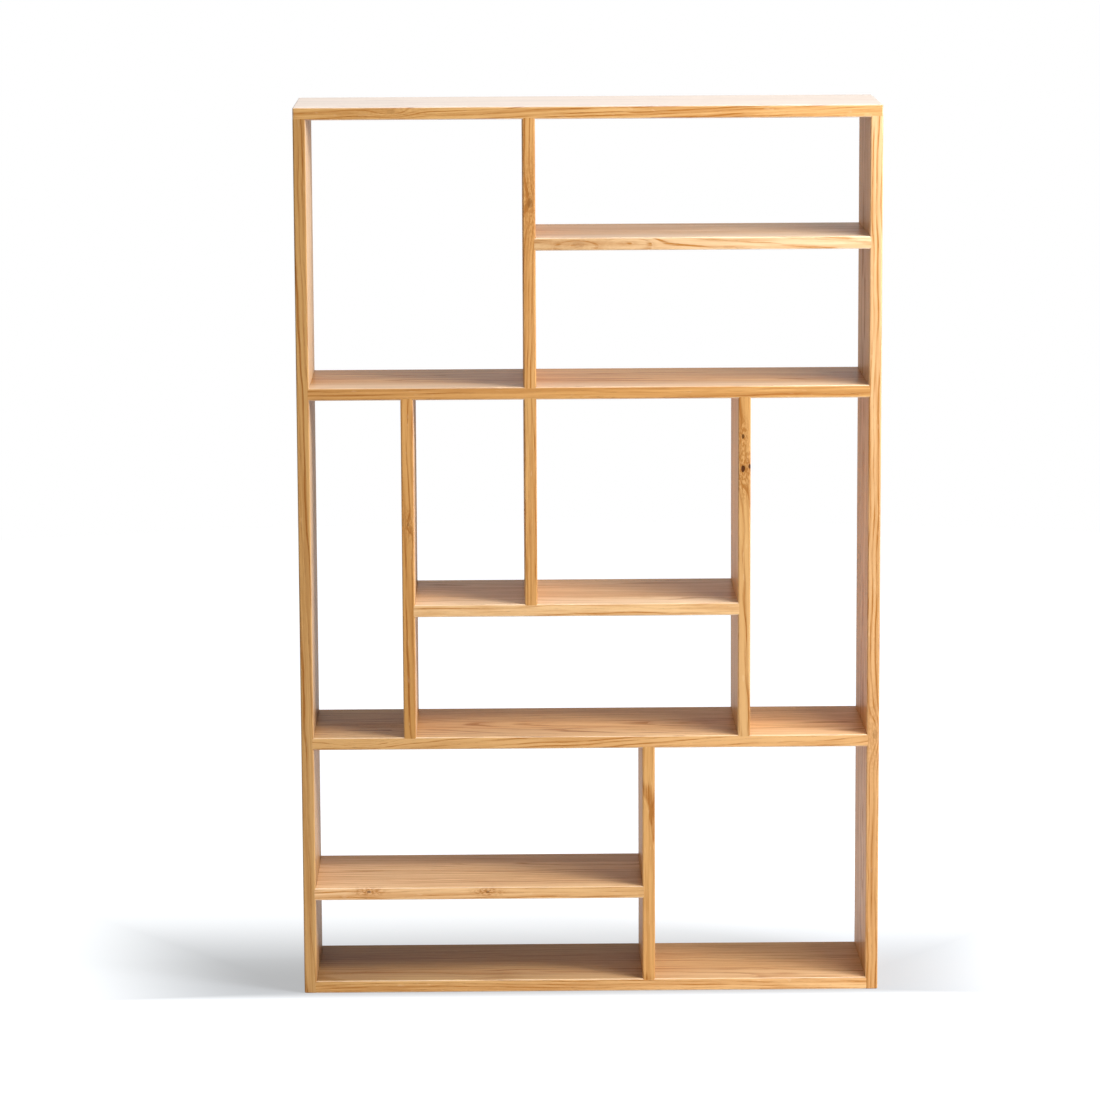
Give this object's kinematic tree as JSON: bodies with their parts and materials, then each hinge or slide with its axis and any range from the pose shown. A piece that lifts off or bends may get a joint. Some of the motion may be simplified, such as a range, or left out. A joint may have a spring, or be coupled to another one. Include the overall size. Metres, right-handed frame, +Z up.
{
  "type": "bookcase",
  "caption": "Tall open bookcase of solid oak boards with an asymmetric grid of fixed shelves and dividers, open front and back.",
  "frame": {"origin": "on the floor, in the middle of the base", "axes": "+Z up, +X to the right as seen from the front, -Y out of the front"},
  "size_m": [1.2, 0.3, 1.85],
  "materials": {
    "oak_case": "solid oak, oiled, satin",
    "oak_shelf": "solid oak, oiled, satin",
    "oak_divider": "solid oak, oiled, satin",
    "beech_tenon": "plain milled beech, glued in"
  },
  "bodies": {
    "root": {"bottom_panel": "oak_case", "left_side_panel": "oak_case", "lower_divider": "oak_divider", "lower_left_shelf": "oak_shelf", "lower_long_shelf": "oak_shelf", "middle_center_divider": "oak_divider", "middle_left_divider": "oak_divider", "middle_right_divider": "oak_divider", "middle_shelf": "oak_shelf", "right_side_panel": "oak_case", "tenon_bottom_panel_to_left_side_panel_back": "beech_tenon", "tenon_bottom_panel_to_left_side_panel_front": "beech_tenon", "tenon_bottom_panel_to_right_side_panel_back": "beech_tenon", "tenon_bottom_panel_to_right_side_panel_front": "beech_tenon", "tenon_left_side_panel_to_top_panel_back": "beech_tenon", "tenon_left_side_panel_to_top_panel_front": "beech_tenon", "tenon_lower_divider_to_bottom_panel_back": "beech_tenon", "tenon_lower_divider_to_bottom_panel_front": "beech_tenon", "tenon_lower_divider_to_lower_long_shelf_back": "beech_tenon", "tenon_lower_divider_to_lower_long_shelf_front": "beech_tenon", "tenon_lower_left_shelf_to_left_side_panel_back": "beech_tenon", "tenon_lower_left_shelf_to_left_side_panel_front": "beech_tenon", "tenon_lower_left_shelf_to_lower_divider_back": "beech_tenon", "tenon_lower_left_shelf_to_lower_divider_front": "beech_tenon", "tenon_lower_long_shelf_to_left_side_panel_back": "beech_tenon", "tenon_lower_long_shelf_to_left_side_panel_front": "beech_tenon", "tenon_lower_long_shelf_to_right_side_panel_back": "beech_tenon", "tenon_lower_long_shelf_to_right_side_panel_front": "beech_tenon", "tenon_middle_center_divider_to_middle_shelf_back": "beech_tenon", "tenon_middle_center_divider_to_middle_shelf_front": "beech_tenon", "tenon_middle_left_divider_to_lower_long_shelf_back": "beech_tenon", "tenon_middle_left_divider_to_lower_long_shelf_front": "beech_tenon", "tenon_middle_left_divider_to_upper_long_shelf_back": "beech_tenon", "tenon_middle_left_divider_to_upper_long_shelf_front": "beech_tenon", "tenon_middle_right_divider_to_lower_long_shelf_back": "beech_tenon", "tenon_middle_right_divider_to_lower_long_shelf_front": "beech_tenon", "tenon_middle_right_divider_to_upper_long_shelf_back": "beech_tenon", "tenon_middle_right_divider_to_upper_long_shelf_front": "beech_tenon", "tenon_middle_shelf_to_middle_left_divider_back": "beech_tenon", "tenon_middle_shelf_to_middle_left_divider_front": "beech_tenon", "tenon_middle_shelf_to_middle_right_divider_back": "beech_tenon", "tenon_middle_shelf_to_middle_right_divider_front": "beech_tenon", "tenon_right_side_panel_to_top_panel_back": "beech_tenon", "tenon_right_side_panel_to_top_panel_front": "beech_tenon", "tenon_top_right_shelf_to_right_side_panel_back": "beech_tenon", "tenon_top_right_shelf_to_right_side_panel_front": "beech_tenon", "tenon_top_right_shelf_to_upper_divider_back": "beech_tenon", "tenon_top_right_shelf_to_upper_divider_front": "beech_tenon", "tenon_upper_divider_to_top_panel_back": "beech_tenon", "tenon_upper_divider_to_top_panel_front": "beech_tenon", "tenon_upper_long_shelf_to_left_side_panel_back": "beech_tenon", "tenon_upper_long_shelf_to_left_side_panel_front": "beech_tenon", "tenon_upper_long_shelf_to_right_side_panel_back": "beech_tenon", "tenon_upper_long_shelf_to_right_side_panel_front": "beech_tenon", "through_tenon_in_upper_long_shelf_back": "beech_tenon", "through_tenon_in_upper_long_shelf_front": "beech_tenon", "top_panel": "oak_case", "top_right_shelf": "oak_shelf", "upper_divider": "oak_divider", "upper_long_shelf": "oak_shelf"}
  },
  "joints": []
}
